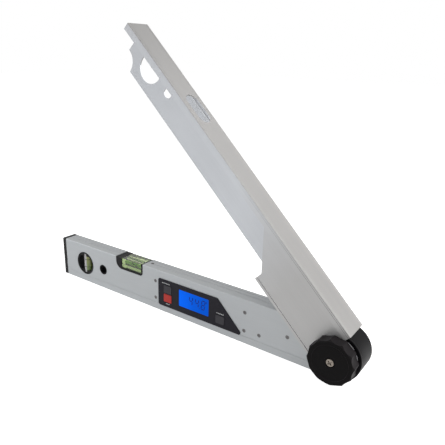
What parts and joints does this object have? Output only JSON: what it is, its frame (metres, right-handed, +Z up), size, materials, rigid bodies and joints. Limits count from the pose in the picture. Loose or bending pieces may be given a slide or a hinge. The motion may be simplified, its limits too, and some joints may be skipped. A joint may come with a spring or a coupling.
{
  "type": "angle finder",
  "caption": "Digital angle finder: a box-section arm with spirit levels and a display, and a channel arm that folds over it on a clamped pivot.",
  "frame": {"origin": "middle of the fixed arm's measuring base, halfway between the pivot axis and the outer end, on the arm's mid-plane", "axes": "+X along the fixed arm towards the pivot, +Y away from the display side, +Z up from the measuring base"},
  "size_m": [0.4466, 0.0489, 0.3392],
  "materials": {
    "satin_alloy": "satin anodised, fine grain along the arm",
    "arm_alloy": "satin anodised, fine grain along the arm",
    "black_moulding": "fine moulded grain",
    "inner_moulding": "plain moulded",
    "vial_clear": "clear acrylic",
    "vial_fluid": "green level fluid",
    "display_window": "lit blue window",
    "display_glass": "display glass",
    "board": "circuit board",
    "key_rubber": "silicone rubber",
    "red_button": "moulded button",
    "grey_button": "moulded button",
    "dark_screws": "blackened steel",
    "bright_steel": "plated steel",
    "knob_screw_steel": "yellow zinc plated",
    "brass_parts": "plain",
    "fibre": "friction fibre",
    "ribbon": "flat cable"
  },
  "bodies": {
    "fixed_arm": {"fixed_beam": "satin_alloy", "end_cap": "black_moulding", "plumb_ring": "black_moulding", "plumb_vial": "vial_clear", "plumb_fluid": "vial_fluid", "hang_sleeve": "black_moulding", "level_holder": "black_moulding", "level_block": "vial_clear", "level_fluid": "vial_fluid", "level_screw": "dark_screws", "display_bezel": "black_moulding", "display_lens": "display_window", "lcd_module": "display_glass", "circuit_board": "board", "keypad_mat": "key_rubber", "display_tray": "inner_moulding", "panel_screws": "dark_screws", "battery_holder": "inner_moulding", "coin_cell": "bright_steel", "battery_contact": "brass_parts", "battery_cover": "satin_alloy", "cover_screw": "dark_screws", "hub": "black_moulding", "hub_bush": "brass_parts", "hub_screws": "dark_screws", "friction_washer": "fibre", "sensor_board": "board", "sensor_ribbon": "ribbon"},
    "moving_arm": {"channel_arm": "arm_alloy", "front_cheek": "black_moulding", "rear_cheek": "black_moulding", "cheek_screws": "bright_steel", "encoder_disc": "brass_parts", "pivot_bolt": "bright_steel", "bolt_washer": "bright_steel", "thrust_washer": "bright_steel", "knob_screw": "knob_screw_steel"},
    "lock_knob": {"lock_knob": "black_moulding", "knob_insert": "brass_parts"},
    "power_button": {"power_button": "red_button"},
    "hold_button": {"hold_button": "grey_button"},
    "light_button": {"light_button": "grey_button"}
  },
  "joints": [
    {"name": "arm_hinge", "type": "hinge", "parent": "fixed_arm", "child": "moving_arm", "pos_m": [0.21, 0, 0.0286], "axis": [0, 1, 0], "range_deg": [-44.8, 180.2]},
    {"name": "knob_turn", "type": "hinge", "parent": "moving_arm", "child": "lock_knob", "pos_m": [0.21, -0.022, 0.0286], "axis": [0, 1, 0], "range_deg": [0, 270]},
    {"name": "power_button_press", "type": "slide", "parent": "fixed_arm", "child": "power_button", "axis": [0, 1, 0], "range_m": [0, 0.0006], "stiffness_N_per_m": 1500, "springref_m": -0.0004},
    {"name": "hold_button_press", "type": "slide", "parent": "fixed_arm", "child": "hold_button", "axis": [0, 1, 0], "range_m": [0, 0.0006], "stiffness_N_per_m": 1500, "springref_m": -0.0004},
    {"name": "light_button_press", "type": "slide", "parent": "fixed_arm", "child": "light_button", "axis": [0, 1, 0], "range_m": [0, 0.0006], "stiffness_N_per_m": 1500, "springref_m": -0.0004}
  ]
}
